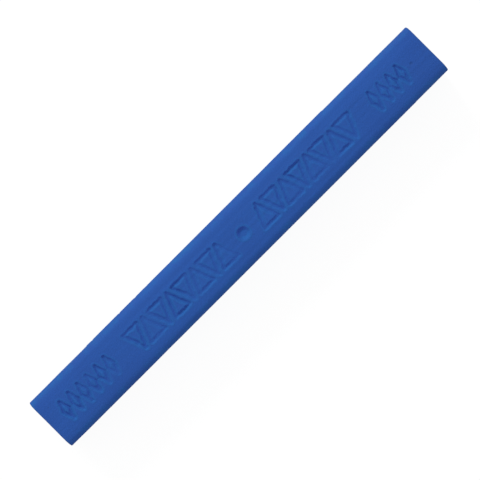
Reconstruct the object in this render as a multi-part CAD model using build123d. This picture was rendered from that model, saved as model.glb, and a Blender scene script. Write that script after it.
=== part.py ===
"""Watercolour ink block: one short square stick of pressed pigment paste.

The paste is pressed through a square die, cut to length, and stamped on one face while it is still soft.
It dries as one hard piece, so it is one solid in one node.

Frame: +X along the stick, +Y across it, +Z up out of the stamped face.
The origin is the middle of the plain face that the stick lies on. All sizes are in millimetres.
"""

import os

from build123d import *

# The stick.
LENGTH = 70.0
WIDTH = 8.0
HEIGHT = 8.0
LONG_EDGE_RADIUS = 1.0
END_EDGE_RADIUS = 0.3

# The stamped line: a round dot, a frieze of triangles on each side of it, and a row of lozenges beyond each.
# Places along the line are measured from the dot, which sits a little off the middle of the stick.
STAMP_X = 0.75
STAMP_Y = -0.15
STROKE_DEPTH = 0.15
STROKE_DRAFT = 20.0

DOT_DIAMETER = 1.9
DOT_DEPTH = 0.4

TRIANGLES = 8
TRIANGLE_START = 3.75
TRIANGLE_PITCH = 2.25
TRIANGLE_WIDTH = 2.9
TRIANGLE_HEIGHT = 3.6
TRIANGLE_STROKE = 0.42

LOZENGES_BEFORE = 6
LOZENGES_AFTER = 4
LOZENGE_START = 24.5
LOZENGE_PITCH = 1.65
LOZENGE_WIDTH = 1.35
LOZENGE_HEIGHT = 3.3
LOZENGE_STROKE = 0.34

TRIM = 0.5  # how far the stamping tool stands above the face, so that its cut is clean


def stick():
    """The square section with its rounded long edges, carried over the whole length, then the ends eased."""
    section = Plane.YZ * RectangleRounded(WIDTH, HEIGHT, LONG_EDGE_RADIUS)
    body = Pos(0, 0, HEIGHT / 2) * extrude(section, amount=LENGTH / 2, both=True)
    ends = body.faces().filter_by(Axis.X)
    return fillet(ends.edges(), END_EDGE_RADIUS)


def closed_stroke(corners, width):
    """A stroke of even width along a closed outline, round outside its corners and sharp inside them."""
    outline = Polygon(*corners, align=None)
    outside = offset(outline, width / 2, kind=Kind.ARC)
    inside = offset(outline, -width / 2, kind=Kind.INTERSECTION)
    return outside - inside


def triangle(points_up):
    """An open triangle, standing on its base or on its point."""
    half = (TRIANGLE_WIDTH - TRIANGLE_STROKE) / 2
    rise = (TRIANGLE_HEIGHT - TRIANGLE_STROKE) / 2
    tip = rise if points_up else -rise
    return closed_stroke([(-half, -tip), (half, -tip), (0, tip)], TRIANGLE_STROKE)


def lozenge():
    """An open lozenge, taller than it is wide."""
    half = (LOZENGE_WIDTH - LOZENGE_STROKE) / 2
    rise = (LOZENGE_HEIGHT - LOZENGE_STROKE) / 2
    return closed_stroke([(half, 0), (0, rise), (-half, 0), (0, -rise)], LOZENGE_STROKE)


def frieze(side):
    """Triangles standing on base and point in turn. side is 1 along +X and -1 along -X."""
    places = [TRIANGLE_START + k * TRIANGLE_PITCH for k in range(TRIANGLES)]
    return [Pos(side * x, 0) * triangle(points_up=k % 2 == 0) for k, x in enumerate(places)]


def lozenge_row(side, count):
    """A row of lozenges beyond the frieze on one side."""
    places = [LOZENGE_START + k * LOZENGE_PITCH for k in range(count)]
    return [Pos(side * x, 0) * lozenge() for x in places]


def strokes():
    """The stamp's raised strokes, narrower at their tips, standing TRIM above the stamped face."""
    marks = frieze(1) + frieze(-1) + lozenge_row(1, LOZENGES_AFTER) + lozenge_row(-1, LOZENGES_BEFORE)
    tools = []
    for mark in marks:
        placed = Pos(STAMP_X, STAMP_Y, HEIGHT) * mark
        tools.append(extrude(placed, amount=-STROKE_DEPTH, taper=STROKE_DRAFT))
        tools.append(extrude(placed, amount=TRIM))
    return tools


def dot():
    """The ball that presses the round hollow of the dot."""
    rim = DOT_DIAMETER / 2
    radius = (rim**2 + DOT_DEPTH**2) / (2 * DOT_DEPTH)
    return Pos(STAMP_X, STAMP_Y, HEIGHT - DOT_DEPTH + radius) * Sphere(radius)


def ink_block():
    """The finished stick with its stamped face."""
    return stick() - strokes() - dot()


os.makedirs("parts", exist_ok=True)
export_step(ink_block(), "parts/ink_block.step")
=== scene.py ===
"""Watercolour ink block: the finish of one stamped stick of pressed pigment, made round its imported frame.

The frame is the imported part's own, in metres: +X along the stick, +Y across it, and +Z up out of the
stamped face. Sizes here are in millimetres, and become metres as a mesh, pattern or place is made.
"""

from math import radians

import bpy
import numpy as np
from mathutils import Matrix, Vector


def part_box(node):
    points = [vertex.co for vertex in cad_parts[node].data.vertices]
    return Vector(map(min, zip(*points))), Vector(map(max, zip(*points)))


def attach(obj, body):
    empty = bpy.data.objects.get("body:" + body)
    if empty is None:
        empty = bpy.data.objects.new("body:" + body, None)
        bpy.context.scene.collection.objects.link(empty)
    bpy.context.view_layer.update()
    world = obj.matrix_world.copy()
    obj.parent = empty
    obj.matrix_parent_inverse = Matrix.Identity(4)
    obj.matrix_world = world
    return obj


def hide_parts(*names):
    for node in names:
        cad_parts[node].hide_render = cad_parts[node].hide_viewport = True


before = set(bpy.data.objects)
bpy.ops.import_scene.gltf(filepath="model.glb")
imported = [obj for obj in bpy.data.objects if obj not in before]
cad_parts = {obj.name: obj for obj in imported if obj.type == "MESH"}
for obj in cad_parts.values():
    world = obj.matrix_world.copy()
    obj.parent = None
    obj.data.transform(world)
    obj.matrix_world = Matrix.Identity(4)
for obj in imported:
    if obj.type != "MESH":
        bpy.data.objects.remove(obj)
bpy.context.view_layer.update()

# ----------------------------------------------------------------------------------------------------------
# The stick. Clay, gum and pigment are kneaded to a stiff paste, pressed through a square die with rounded
# corners, and cut to length. Here it is one closed skin of rings, each the die's outline, and the rings of
# the two cut ends shrink to a point.

MM = 0.001
low, high = (np.array(corner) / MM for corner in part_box("ink_block"))
LENGTH, _, HEIGHT = high - low
MIDDLE_Y = -0.022  # the outline's middle, which leaves room on the +Y side for the raised edge there
MIDDLE_Z = HEIGHT / 2
HALF_OUTLINE = 3.975
LONG_EDGE_RADIUS = 1.0
END_EDGE_RADIUS = 0.2
RING_SPACING = 0.124
END_RINGS = 24
END_EDGE_RINGS = 4
# For the bottom, +Y, top and -Y faces in turn: the steps over the face, and round the edge that follows it.
OUTLINE_STEPS = ((20, 5), (26, 8), (60, 8), (26, 5))


def outline():
    """The die's outline in Y and Z about its middle, as half_face * square + LONG_EDGE_RADIUS * away.

    square goes round the edge of a square from -1 to 1 and waits at its corners. away is the unit normal,
    which stays still along a face and turns a quarter circle at the corner that follows. The outline comes
    with its normals, and how far each point is from the middle of its face, measured over the surface."""
    corners = np.array([(1.0, -1.0), (1.0, 1.0), (-1.0, 1.0), (-1.0, -1.0)])
    half_face = HALF_OUTLINE - LONG_EDGE_RADIUS
    square, turn, from_middle = [], [], []
    for face, (face_steps, edge_steps) in enumerate(OUTLINE_STEPS):
        along = np.linspace(0, 1, face_steps, endpoint=False)
        bend = np.linspace(0, np.pi / 2, edge_steps, endpoint=False)
        facing = (face - 1) * np.pi / 2
        square.append(corners[face - 1] + (corners[face] - corners[face - 1]) * along[:, None])
        square.append(np.tile(corners[face], (edge_steps, 1)))
        turn.append(np.full(face_steps, facing))
        turn.append(facing + bend)
        from_middle.append(half_face * np.abs(2 * along - 1))
        from_middle.append(half_face + LONG_EDGE_RADIUS * np.minimum(bend, np.pi / 2 - bend))
    turn = np.concatenate(turn)
    away = np.stack([np.cos(turn), np.sin(turn)], axis=1)
    return half_face * np.concatenate(square) + LONG_EDGE_RADIUS * away, away, np.concatenate(from_middle)


def stations():
    """Each ring's place along X, how far it has shrunk from the outline, and its normal's lean to the end.

    Over an end the shrinking goes from half the outline to the end's edge radius, then round a quarter
    circle while the lean falls from a right angle to 0. Along the stick both stay 0, and the other end is
    the mirror of the first."""
    face = np.linspace(HALF_OUTLINE, END_EDGE_RADIUS, END_RINGS, endpoint=False)[1:]
    lean = np.linspace(np.pi / 2, 0, END_EDGE_RINGS + 1)
    past_end = END_EDGE_RADIUS * (1 - np.sin(lean))
    shrunk = np.concatenate([face, END_EDGE_RADIUS * (1 - np.cos(lean))])
    lean = np.concatenate([np.full(len(face), np.pi / 2), lean])
    x = np.concatenate([np.zeros(len(face)), past_end]) - LENGTH / 2
    run = x[-1] * np.linspace(1, -1, round(-2 * x[-1] / RING_SPACING) + 1)[1:-1]
    level = np.zeros(len(run))
    return (
        np.concatenate([x, run, -x[::-1]]),
        np.concatenate([shrunk, level, shrunk[::-1]]),
        np.concatenate([-lean, level, lean[::-1]]),
    )


die, away, from_middle = outline()
ring_x, ring_shrunk, ring_lean = stations()
skin = np.empty((len(ring_x), len(die), 3))
skin[..., 0] = ring_x[:, None]
skin[..., 1:] = (1 - ring_shrunk / HALF_OUTLINE)[:, None, None] * die + (MIDDLE_Y, MIDDLE_Z)
normal = np.empty_like(skin)
normal[..., 0] = np.sin(ring_lean)[:, None]
normal[..., 1:] = np.cos(ring_lean)[:, None, None] * away

# ----------------------------------------------------------------------------------------------------------
# How the paste came out of the die. Its faces are slightly lumpy, with faint drag lines, air holes and
# chips, its ends show the upright lines of the blade, and its +Y edge was squeezed into a gap in the tool.

WAVES = 24
SLUMP_START = 1.7  # from the middle of the top face
SLUMP_DROP = 0.15
LUMP_SIZE = 7.0
LUMP_HEIGHT = 0.012
DRAG_SPACING = 0.8
DRAG_LENGTH = 30.0  # how many times as long as they are apart
DRAG_DEPTH = 0.006
CUT_SPACING = 0.6
CUT_LENGTH = 9.0  # likewise
CUT_DEPTH = 0.02
TORN_SIZE = 2.2
TORN_DEPTH = 0.03
RIM_WIDTH = 0.8
NICK_SIZE = 1.3
NICK_DEPTH = 0.05
NICKED = (1.4, 2.4)  # the heights of the ripples where a nick starts and is at its deepest
# The raised edge on the +Y side, and the lower swell on the -Y side: where each starts and ends along X,
# how far it stands out, the Z of its middle, and its spread.
RAISED_EDGE = (-24.3, 19.4, 0.06, 6.7, 0.7)
LOW_SWELL = (-12.0, 29.0, 0.025, 5.5, 2.0)
SWELL_FADE = 0.2
RAGGED_UNTIL = -10.0
RAGGED_FADE = 8.0
RAGGED_SIZE = 1.1
RAGGED_GAPS = (-0.9, -0.3)  # likewise, where the raised edge is missing and where it is whole
AIR_HOLES = 70
HOLE_RADIUS = (0.2, 0.5)
HOLE_DEPTH = 0.22  # of its radius, as for the other two depths below
TOP_HOLE = (32.0, 0.0)
TOP_HOLE_RADIUS = 0.32
TOP_HOLE_DEPTH = 0.35
CHIPS = 9
CHIP_RADIUS = (0.5, 1.1)
CHIP_DEPTH = 0.5


def ripples(points, size, seed, stretch=(1, 1, 1)):
    """A random swell with a usual height of 1: a sum of plane waves in random directions at random phases.

    The wavelengths lie about size, and along X, Y and Z they are stretch times as long."""
    random = np.random.default_rng(seed)
    direction = random.normal(size=(3, WAVES))
    direction /= np.linalg.norm(direction, axis=0)
    waves = direction * 2 * np.pi / (size * random.uniform(0.6, 1.6, WAVES))
    phase = random.uniform(0, 2 * np.pi, WAVES)
    return np.cos(points / stretch @ waves + phase).sum(-1) * np.sqrt(2 / WAVES)


def between(value, start, end):
    """Rises smoothly from 0 at start to 1 at end, by 3tt - 2ttt."""
    t = np.clip((value - start) / (end - start), 0, 1)
    return t * t * (3 - 2 * t)


def swell(start, end, height, middle, spread):
    """A ridge along a side: a bell curve in Z about middle, which fades in and out at start and end."""
    x, z = skin[..., 0], skin[..., 2]
    started = between(x, start - SWELL_FADE, start + SWELL_FADE)
    ended = between(x, end - SWELL_FADE, end + SWELL_FADE)
    return height * (started * (1 - ended)) * np.exp(-(((z - middle) / spread) ** 2))


def hollow(middle, radius, deep):
    """A round hollow's depth: deep * radius * (1 - (distance / radius)^2)^2, and 0 beyond its radius."""
    nearness = 1 - (((skin - middle) / radius) ** 2).sum(-1)
    return deep * radius * nearness.clip(0) ** 2


random = np.random.default_rng(8)
ring = skin[len(ring_x) // 2]
girth = np.append(0, np.cumsum(np.linalg.norm(np.roll(ring, -1, axis=0) - ring, axis=1)))
pits = np.zeros(skin.shape[:2])
for along, around, radius in zip(
    random.uniform(ring_x[0], ring_x[-1], AIR_HOLES),
    random.uniform(0, girth[-1], AIR_HOLES),
    random.triangular(HOLE_RADIUS[0], *HOLE_RADIUS, AIR_HOLES),
):
    middle = skin[np.searchsorted(ring_x, along), np.searchsorted(girth, around) - 1]
    pits = np.maximum(pits, hollow(middle, radius, HOLE_DEPTH))
# The plate that carries the stamp presses the top face smooth, and closes all but one of the hollows there.
pits *= 1 - normal[..., 2].clip(0)
top_hole = hollow((*TOP_HOLE, skin[..., 2].max()), TOP_HOLE_RADIUS, TOP_HOLE_DEPTH)
pits = np.maximum(pits, top_hole)
# The chips are on the two bottom edges, which knock against the bench and the next stick in the tin.
chips = np.zeros_like(pits)
for along, side, radius in zip(
    random.uniform(ring_x[0], ring_x[-1], CHIPS),
    random.choice([low[1], high[1]], CHIPS),
    random.uniform(*CHIP_RADIUS, CHIPS),
):
    chips = np.maximum(chips, hollow((along, side, 0), radius, CHIP_DEPTH))

end_face = np.abs(normal[..., 0])
long_face = 1 - end_face
# 1 on the middle of a rounded edge, and 0 on the flat faces and at the start of the rounding.
long_ridge = 2 * np.abs(normal[..., 1] * normal[..., 2])
end_ridge = 2 * end_face * np.sqrt(1 - end_face**2)
ridge = np.maximum(long_ridge, end_ridge)

inside_rim = between(ring_shrunk, 0, RIM_WIDTH)[:, None] * end_face
outwards = -normal[..., 2].clip(0) * SLUMP_DROP * between(from_middle, SLUMP_START, from_middle.max())
outwards += long_face * LUMP_HEIGHT * ripples(skin, LUMP_SIZE, 1)
outwards += long_face * DRAG_DEPTH * ripples(skin, DRAG_SPACING, 2, (DRAG_LENGTH, 1, 1))
outwards -= inside_rim * TORN_DEPTH * np.abs(ripples(skin, TORN_SIZE, 3))
outwards -= inside_rim * CUT_DEPTH * np.abs(ripples(skin, CUT_SPACING, 4, (1, 1, CUT_LENGTH)))
outwards -= ridge * NICK_DEPTH * between(ripples(skin, NICK_SIZE, 5), *NICKED)
outwards -= pits + chips
ragged = between(ripples(skin, RAGGED_SIZE, 6), *RAGGED_GAPS)
ragged = np.maximum(ragged, between(skin[..., 0], RAGGED_UNTIL - RAGGED_FADE, RAGGED_UNTIL))
outwards += normal[..., 1].clip(0) * ragged * swell(*RAISED_EDGE)
outwards += (-normal[..., 1]).clip(0) * swell(*LOW_SWELL)

# ----------------------------------------------------------------------------------------------------------
# The stamped line. While the paste is soft, a steel stamp presses a dot and rows of open triangles and
# lozenges into the top face. The strokes have soft shoulders, uneven depth and a low raised lip.

STAMP_X = 0.75
STAMP_Y = -0.15
STROKE_DEPTH = 0.16
SHOULDER = 0.14
LIP_HEIGHT = 0.024
LIP_WIDTH = 0.14
WORN_SIZE = 0.8
WORN_BY = 0.035
# Pressure is a share of the stroke depth. It varies over the line, rises towards +Y, and is more at the
# lozenges, where the rise begins and ends at these distances before the first of them.
PRESSURE = 0.85
PRESSURE_VARIES = 0.22
PRESSURE_SIZE = 4.0
PRESSURE_LIMITS = (0.35, 1.4)
STAMP_LEAN = 0.05
LOZENGES_DEEPER = 0.25
DEEPER_BEFORE = (1.2, 0.8)
STEEP_WALL = 0.5  # the slope at which a wall takes all of its painted sheen or painted highlight
# how much paler the lips are made: partly dust, partly painted highlight
DUST_AND_HIGHLIGHT_ON_LIPS = 0.7
DOT_DIAMETER = 1.9
DOT_DEPTH = 0.4
# In dot radii: where its floor ends, where its wall ends, and its lip's place and width.
DOT_FLOOR = 0.42
DOT_WALL = 1.03
DOT_LIP = (1.08, 0.13)
DOT_LIP_SHARE = 1.5  # of the strokes' lip
DOT_SLOPE = 0.3  # the share of its depth gained from its middle to its +Y side
TRIANGLES = 8
TRIANGLE_START = 3.75
TRIANGLE_PITCH = 2.25
TRIANGLE_WIDTH = 2.9
TRIANGLE_HEIGHT = 3.6
TRIANGLE_STROKE = 0.42
LOZENGES_BEFORE = 6
LOZENGES_AFTER = 4
LOZENGE_START = 24.5
LOZENGE_PITCH = 1.65
LOZENGE_WIDTH = 1.35
LOZENGE_HEIGHT = 3.3
LOZENGE_STROKE = 0.34


def triangle(x, points_up):
    """The corners of an open triangle at x on the line, standing on its base or on its point."""
    half = (TRIANGLE_WIDTH - TRIANGLE_STROKE) / 2
    rise = (TRIANGLE_HEIGHT - TRIANGLE_STROKE) / 2
    tip = rise if points_up else -rise
    return np.array([(x - half, -tip), (x + half, -tip), (x, tip)])


def lozenge(x):
    """The corners of an open lozenge at x on the line."""
    half = (LOZENGE_WIDTH - LOZENGE_STROKE) / 2
    rise = (LOZENGE_HEIGHT - LOZENGE_STROKE) / 2
    return np.array([(x + half, 0), (x, rise), (x - half, 0), (x, -rise)])


def distance_to(corners, points):
    """The distance from each point to a closed outline, to the nearest place on any of its sides."""
    start = corners
    side = np.roll(corners, -1, axis=0) - corners
    from_start = points[..., None, :] - start
    share = np.clip((from_start * side).sum(-1) / (side * side).sum(-1), 0, 1)
    return np.linalg.norm(from_start - share[..., None] * side, axis=-1).min(-1)


def stamped(points):
    """How far each point of the top face is outside the nearest stroke's edge, or less than 0 inside it."""
    outside = np.full(points.shape[:-1], np.inf)
    for sign, lozenges in ((1, LOZENGES_AFTER), (-1, LOZENGES_BEFORE)):
        for k in range(TRIANGLES):
            mark = triangle(sign * (TRIANGLE_START + k * TRIANGLE_PITCH), points_up=k % 2 == 0)
            outside = np.minimum(outside, distance_to(mark, points) - TRIANGLE_STROKE / 2)
        for k in range(lozenges):
            mark = lozenge(sign * (LOZENGE_START + k * LOZENGE_PITCH))
            outside = np.minimum(outside, distance_to(mark, points) - LOZENGE_STROKE / 2)
    return outside


FLAT_ENOUGH = 0.99  # the least Z of a normal that belongs to the top face
top = normal[..., 2] > FLAT_ENOUGH
on_line = skin[top][:, :2] - (STAMP_X, STAMP_Y)
outside = stamped(on_line) + WORN_BY * ripples(skin[top], WORN_SIZE, 9)
pressure = PRESSURE + PRESSURE_VARIES * ripples(skin[top], PRESSURE_SIZE, 7) + STAMP_LEAN * on_line[:, 1]
deeper_from, deeper_to = (LOZENGE_START - before for before in DEEPER_BEFORE)
pressure += LOZENGES_DEEPER * between(np.abs(on_line[:, 0]), deeper_from, deeper_to)
pressure = np.clip(pressure, *PRESSURE_LIMITS)
stroke = pressure * (1 - between(outside, -SHOULDER, SHOULDER))
lip = pressure * np.exp(-(((outside - SHOULDER) / LIP_WIDTH) ** 2)) * (outside > 0)
from_dot = np.linalg.norm(on_line, axis=1) / (DOT_DIAMETER / 2)
dot = 1 - between(from_dot, DOT_FLOOR, DOT_WALL)
dot *= 1 - DOT_SLOPE + DOT_SLOPE * on_line[:, 1] / (DOT_DIAMETER / 2)
dot_lip = np.exp(-(((from_dot - DOT_LIP[0]) / DOT_LIP[1]) ** 2))
sunk = np.zeros(top.shape)
sunk[top] = np.maximum(stroke * STROKE_DEPTH, dot * DOT_DEPTH)
lips = np.zeros(top.shape)
lips[top] = np.maximum(lip, DOT_LIP_SHARE * dot_lip)
outwards += LIP_HEIGHT * lips - sunk
# Painted light on the strokes: a violet sheen on their +Y walls, which face away from the lamp, and a
# highlight on the walls that face it. The lips get dust and painted highlight.
deepening = np.gradient(sunk, axis=1) / np.diff(girth) / STEEP_WALL
painted_sheen = deepening.clip(0, 1)
dust_and_highlight = np.maximum((-deepening).clip(0, 1), DUST_AND_HIGHLIGHT_ON_LIPS * lips.clip(0, 1))

skin += outwards[..., None] * normal
skin = np.clip(skin, low, high)


# ----------------------------------------------------------------------------------------------------------
# The finished stick as one mesh. It carries what its finish needs to know, such as where it is rubbed or
# torn and where light and shade are painted on it, and its map unrolls it like a label, with the two ends
# beside it.


def faces_of(rings, columns):
    """A closed skin's faces, as rows of ring and column: four-sided between rings, three-sided at the tips.

    Column numbers run on past the last, so that a map can tell the two sides of its seam apart."""
    ring, column = np.meshgrid(np.arange(rings - 1), np.arange(columns), indexing="ij")
    ring, column = ring.ravel(), column.ravel()
    quads = np.stack([ring, column, ring, column + 1, ring + 1, column + 1, ring + 1, column], axis=1)
    column = np.arange(columns)
    first, last = np.zeros_like(column), np.full_like(column, rings - 1)
    start = np.stack([first - 1, column, first, column + 1, first, column], axis=1)
    end = np.stack([last, column, last, column + 1, last + 1, column], axis=1)
    return quads.reshape(-1, 4, 2), np.concatenate([start, end]).reshape(-1, 3, 2)


rings, columns = top.shape
quads, fans = faces_of(rings, columns)
tips = np.array([skin[0].mean(0), skin[-1].mean(0)])
points = np.concatenate([skin.reshape(-1, 3), tips])


def vertex_of(corner):
    """The vertex number of a face's corner. The rings before the first and past the last are the tips."""
    ring, column = corner[..., 0], corner[..., 1] % columns
    number = ring * columns + column
    number = np.where(ring < 0, rings * columns, number)
    return np.where(ring >= rings, rings * columns + 1, number)


mesh = bpy.data.meshes.new("pigment_stick")
mesh.from_pydata(points * MM, [], vertex_of(quads).tolist() + vertex_of(fans).tolist())
mesh.shade_smooth()

LESS_PALE_IN_SHADE = 0.6  # painted shade: the -Y edge, which faces away from the lamp, is made pale by this share less
MORE_ON_ENDS = 0.6  # and the ends' edges by this share more
# the depths at which the painted shade in an air hole or a chip is full
DEEP_PIT = 0.08
DEEP_CHIP = 0.3
low_y = (-normal[..., 1]).clip(0)
for name, values in (
    # pale wear on the rounded edges, with less on the -Y edge as painted shade
    ("edge_wear_and_painted_shade", ridge * (1 - LESS_PALE_IN_SHADE * low_y) + MORE_ON_ENDS * end_ridge),
    # painted violet sheen on the stroke walls that face away from the lamp
    ("painted_sheen", painted_sheen),
    # painted highlight on the stroke walls that face the lamp, and dust with painted highlight on the lips
    ("dust_and_highlight", dust_and_highlight),
    ("torn", inside_rim + np.zeros(top.shape)),
    # painted shade in the air holes and chips, darker as they are deeper
    ("pit_shade", (pits / DEEP_PIT + chips / DEEP_CHIP).clip(0, 1)),
    ("handled", 1 - normal[..., 2].clip(0)),
):
    attribute = mesh.attributes.new(name, "FLOAT", "POINT")
    attribute.data.foreach_set("value", np.append(values.ravel(), (0, 0)).astype(np.float32))

MAP_MARGIN = 0.01
BODY_SHARE = 0.78
cap_rings = END_RINGS - 1
corner = np.concatenate([quads.reshape(-1, 2), fans.reshape(-1, 2)])
place = points[vertex_of(corner)]
along_u = MAP_MARGIN + (1 - 2 * MAP_MARGIN) * (place[:, 0] / LENGTH + 0.5)
across_v = MAP_MARGIN + (BODY_SHARE - 2 * MAP_MARGIN) * girth[corner[:, 1]] / girth[-1]
uv = np.stack([along_u, across_v], axis=1)
first_ring = np.concatenate([np.repeat(quads[:, 0, 0], 4), np.repeat(fans[:, :, 0].min(1), 3)])
cap_size = 1 - BODY_SHARE - 2 * MAP_MARGIN
cap_uv = (place[:, 1:] - (MIDDLE_Y, MIDDLE_Z)) / (2 * HALF_OUTLINE) + 0.5
for chosen, left in ((first_ring < cap_rings, 0), (first_ring >= rings - 1 - cap_rings, 1)):
    corner_of_map = np.array([MAP_MARGIN + left * (cap_size + MAP_MARGIN), BODY_SHARE + MAP_MARGIN])
    uv[chosen] = corner_of_map + cap_size * cap_uv[chosen]
mesh.uv_layers.new(name="OFBake").uv.foreach_set("vector", uv.astype(np.float32).ravel())

stick = bpy.data.objects.new("pigment_stick", mesh)
bpy.context.scene.collection.objects.link(stick)
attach(stick, "root")
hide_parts("ink_block")

# ----------------------------------------------------------------------------------------------------------
# Pressed pigment: a strong blue pigment with clay and gum, dried hard and never fired or varnished. The eye
# sees a deep, chalk-matt blue with soft mottling and fine grain. It is paler where it has rubbed or holds
# dust. Light and shade are painted into it too: a highlight on the stroke walls that face the lamp and on
# the lips, a violet sheen on the walls that face away, shade in air holes, chips and pinholes, less paleness
# on the -Y edge, and a lighter middle with darker ends.


def linear(code):
    """A colour written as sRGB hex, as the linear colour that a shader takes."""
    value = np.array([int(code[k : k + 2], 16) for k in (0, 2, 4)]) / 255
    value = np.where(value <= 0.04045, value / 12.92, ((value + 0.055) / 1.055) ** 2.4)
    return (*value, 1.0)


def add(tree, kind, inputs, **settings):
    """Adds a node with these settings. An input, by name or number, takes a value or a socket to link."""
    made = tree.nodes.new(kind)
    for name, value in settings.items():
        setattr(made, name, value)
    for name, value in inputs.items():
        if isinstance(value, bpy.types.NodeSocket):
            tree.links.new(value, made.inputs[name])
        else:
            made.inputs[name].default_value = value
    return made


def per_metre(size):
    """The scale of a pattern whose features are size millimetres apart."""
    return 1 / (size * MM)


PIGMENT_DEEP = "1D4EA1"
PIGMENT_BRIGHT = "1E54A8"
# darker grain and streaks, and the painted shade in air holes, chips and pinholes
PIGMENT_DARK_AND_PIT_SHADE = "1D4589"
# dust on the edges and lips, and the painted highlight on the stroke walls and lips
PIGMENT_DUST_AND_HIGHLIGHT = "0F62A6"
PIGMENT_TORN = "2458A0"
PIGMENT_RUB = "2D6CA6"
# the painted violet sheen on the stroke walls that face away from the lamp
PIGMENT_PAINTED_SHEEN = "2C4DB2"
PINHOLE_SPACING = 2.4
PINHOLE_RADIUS = 0.09
PINHOLE_FLOOR = 0.3  # the share of its radius that is flat
# painted light: how far the middle is made lighter and the ends darker
PAINTED_FALLOFF = 0.3
BUMP_HEIGHT = 0.02

pigment = bpy.data.materials.new("pressed_pigment")
pigment.use_nodes = True
tree = pigment.node_tree
tree.nodes.clear()
place = add(tree, "ShaderNodeTexCoord", {}).outputs["Object"]

wear_and_painted_light = {}
for name in ("edge_wear_and_painted_shade", "painted_sheen", "dust_and_highlight", "torn", "pit_shade", "handled"):
    wear_and_painted_light[name] = add(tree, "ShaderNodeAttribute", {}, attribute_name=name).outputs["Fac"]

# Each pattern's length along the stick and width across it in millimetres, its detail, and the two values
# of its noise that become 0 and 1. The real grain is finer still, and this is as fine as shows.
patches = {}
for name, length, width, detail, least, most in (
    ("mottle", 6.0, 6.0, 3.0, 0.2, 0.8),
    ("grain", 0.18, 0.18, 4.0, 0.3, 0.7),
    ("streaks", 25.0, 0.5, 2.0, 0.35, 0.7),
    ("scuffs", 1.4, 1.4, 4.0, 0.42, 0.7),
    ("rubs", 9.0, 1.8, 8.0, 0.5, 0.72),
):
    scale = (per_metre(length), per_metre(width), per_metre(width))
    mapped = add(tree, "ShaderNodeMapping", {"Vector": place, "Scale": scale}).outputs["Vector"]
    noise = add(
        tree, "ShaderNodeTexNoise", {"Vector": mapped, "Scale": 1.0, "Detail": detail}
    ).outputs["Fac"]
    patches[name] = add(
        tree, "ShaderNodeMapRange", {"Value": noise, "From Min": least, "From Max": most}
    ).outputs["Result"]

pinholes = add(
    tree, "ShaderNodeTexVoronoi", {"Vector": place, "Scale": per_metre(PINHOLE_SPACING)}
).outputs["Distance"]
pinholes = add(
    tree,
    "ShaderNodeMapRange",
    {
        "Value": pinholes,
        "From Min": PINHOLE_RADIUS / PINHOLE_SPACING,
        "From Max": PINHOLE_FLOOR * PINHOLE_RADIUS / PINHOLE_SPACING,
    },
).outputs["Result"]

# Painted light: the mottle is made brightest half-way along, and darker as x squared towards the ends.
x = add(tree, "ShaderNodeSeparateXYZ", {"Vector": place}).outputs["X"]
painted_falloff = add(tree, "ShaderNodeMath", {0: x, 1: x}, operation="MULTIPLY").outputs["Value"]
painted_falloff = add(
    tree,
    "ShaderNodeMapRange",
    {"Value": painted_falloff, "From Max": (LENGTH * MM / 2) ** 2, "To Min": PAINTED_FALLOFF, "To Max": -PAINTED_FALLOFF},
).outputs["Result"]
mottle_and_painted_falloff = add(
    tree, "ShaderNodeMath", {0: patches["mottle"], 1: painted_falloff}, operation="ADD", use_clamp=True
).outputs["Value"]
colour = add(
    tree,
    "ShaderNodeMix",
    {0: mottle_and_painted_falloff, 6: linear(PIGMENT_DEEP), 7: linear(PIGMENT_BRIGHT)},
    data_type="RGBA",
).outputs[2]

# Then one colour over another: where it goes is the product of two patterns, and at most this share of it.
for first, second, share, code in (
    (patches["grain"], 1.0, 0.35, PIGMENT_DARK_AND_PIT_SHADE),
    (patches["streaks"], 1.0, 0.2, PIGMENT_DARK_AND_PIT_SHADE),
    (wear_and_painted_light["torn"], 1.0, 0.5, PIGMENT_TORN),
    (wear_and_painted_light["handled"], patches["rubs"], 0.45, PIGMENT_RUB),
    # edges rubbed pale by wear, less on the -Y edge as painted shade
    (wear_and_painted_light["edge_wear_and_painted_shade"], patches["scuffs"], 0.5, PIGMENT_DUST_AND_HIGHLIGHT),
    # painted highlight on the stroke walls that face the lamp, and dust with painted highlight on the lips
    (wear_and_painted_light["dust_and_highlight"], 1.0, 0.45, PIGMENT_DUST_AND_HIGHLIGHT),
    # painted sheen: violet on the stroke walls that face away from the lamp
    (wear_and_painted_light["painted_sheen"], 1.0, 0.5, PIGMENT_PAINTED_SHEEN),
    # painted shade in the pinholes, and below in the air holes and chips
    (pinholes, 1.0, 0.6, PIGMENT_DARK_AND_PIT_SHADE),
    (wear_and_painted_light["pit_shade"], 1.0, 0.6, PIGMENT_DARK_AND_PIT_SHADE),
):
    where = add(tree, "ShaderNodeMath", {0: first, 1: second}, operation="MULTIPLY").outputs["Value"]
    where = add(tree, "ShaderNodeMath", {0: where, 1: share}, operation="MULTIPLY").outputs["Value"]
    colour = add(tree, "ShaderNodeMix", {0: where, 6: colour, 7: linear(code)}, data_type="RGBA").outputs[2]

height = add(
    tree, "ShaderNodeMath", {0: patches["grain"], 1: pinholes}, operation="SUBTRACT"
).outputs["Value"]
bump = add(tree, "ShaderNodeBump", {"Height": height, "Distance": BUMP_HEIGHT * MM}).outputs["Normal"]
shader = add(
    tree,
    "ShaderNodeBsdfPrincipled",
    {"Base Color": colour, "Roughness": 0.85, "Specular IOR Level": 0.35, "Normal": bump},
)
add(tree, "ShaderNodeOutputMaterial", {"Surface": shader.outputs["BSDF"]})
mesh.materials.append(pigment)

# ----------------------------------------------------------------------------------------------------------
# The studio: a sheet of matt white paper under the stick, a soft window of light from the +Y side, and an
# even white surround. The camera looks straight down with a long lens, turned so that the stick lies askew.


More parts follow.
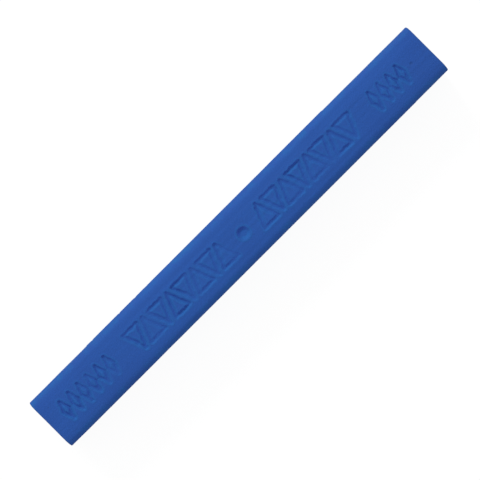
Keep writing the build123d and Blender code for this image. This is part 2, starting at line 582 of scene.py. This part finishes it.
def seen_by_eye(tree):
    """1 for what the camera sees, straight or in gloss or glass, and 0 for what lights the scene."""
    path = add(tree, "ShaderNodeLightPath", {}).outputs
    seen = path["Is Camera Ray"]
    for other in ("Is Glossy Ray", "Is Transmission Ray"):
        seen = add(tree, "ShaderNodeMath", {0: seen, 1: path[other]}, operation="MAXIMUM").outputs["Value"]
    return seen


PAPER_SIZE = 4000.0
PAPER_GLOW = 0.92
PAPER_SEEN = "606060"  # with its glow it is white, and the stick's shadow is faint on it
PAPER_LIT = "A0A0A0"
half = PAPER_SIZE * MM / 2
paper_mesh = bpy.data.meshes.new("paper")
paper_mesh.from_pydata(
    [(-half, -half, 0), (half, -half, 0), (half, half, 0), (-half, half, 0)], [], [(0, 1, 2, 3)]
)
paper = bpy.data.objects.new("paper", paper_mesh)
bpy.context.scene.collection.objects.link(paper)
white = bpy.data.materials.new("white_paper")
white.use_nodes = True
tree = white.node_tree
tree.nodes.clear()
seen = seen_by_eye(tree)
glow = add(tree, "ShaderNodeMath", {0: seen, 1: PAPER_GLOW}, operation="MULTIPLY").outputs["Value"]
glow = add(tree, "ShaderNodeEmission", {"Color": linear("FFFFFF"), "Strength": glow}).outputs["Emission"]
shade = add(
    tree, "ShaderNodeMix", {0: seen, 6: linear(PAPER_LIT), 7: linear(PAPER_SEEN)}, data_type="RGBA"
).outputs[2]
matt = add(tree, "ShaderNodeBsdfDiffuse", {"Color": shade}).outputs["BSDF"]
surface = add(tree, "ShaderNodeAddShader", {0: matt, 1: glow}).outputs["Shader"]
add(tree, "ShaderNodeOutputMaterial", {"Surface": surface})
paper_mesh.materials.append(white)

SURROUND = 0.65
world = bpy.data.worlds.new("surround")
bpy.context.scene.world = world
world.use_nodes = True
tree = world.node_tree
tree.nodes.clear()
strength = add(
    tree, "ShaderNodeMapRange", {"Value": seen_by_eye(tree), "To Min": SURROUND, "To Max": 1.0}
).outputs["Result"]
back = add(
    tree, "ShaderNodeBackground", {"Color": linear("FFFFFF"), "Strength": strength}
).outputs["Background"]
add(tree, "ShaderNodeOutputWorld", {"Surface": back})

LAMP_DISTANCE = 700.0
LAMP_ELEVATION = 32.0
LAMP_TURN = 6.0  # from +Y towards +X
LAMP_SIZE = 250.0
LAMP_WATTS = 3.1
lamp_data = bpy.data.lights.new("window", "AREA")
lamp_data.shape = "SQUARE"
lamp_data.size = LAMP_SIZE * MM
lamp_data.energy = LAMP_WATTS
lamp = bpy.data.objects.new("window", lamp_data)
bpy.context.scene.collection.objects.link(lamp)
lamp.location = LAMP_DISTANCE * MM * np.array([
    np.sin(radians(LAMP_TURN)) * np.cos(radians(LAMP_ELEVATION)),
    np.cos(radians(LAMP_TURN)) * np.cos(radians(LAMP_ELEVATION)),
    np.sin(radians(LAMP_ELEVATION)),
])
lamp.rotation_euler = (radians(LAMP_ELEVATION - 90), 0, radians(-LAMP_TURN))
lamp.visible_camera = False

LENS = 200.0
FIELD = 63.07  # what the picture takes in at the height where the stick is widest
WIDEST = 7.0
CAMERA_X = -0.22
CAMERA_Y = -0.46
CAMERA_TURN = -45.0
camera_data = bpy.data.cameras.new("camera")
camera_data.lens = LENS
camera_height = WIDEST + FIELD * LENS / camera_data.sensor_width
camera_data.clip_start = 0.01
camera_data.clip_end = 10.0
camera = bpy.data.objects.new("camera", camera_data)
bpy.context.scene.collection.objects.link(camera)
camera.location = (CAMERA_X * MM, CAMERA_Y * MM, camera_height * MM)
camera.rotation_euler = (0, 0, radians(CAMERA_TURN))
bpy.context.scene.camera = camera
bpy.context.scene.view_settings.view_transform = "Standard"
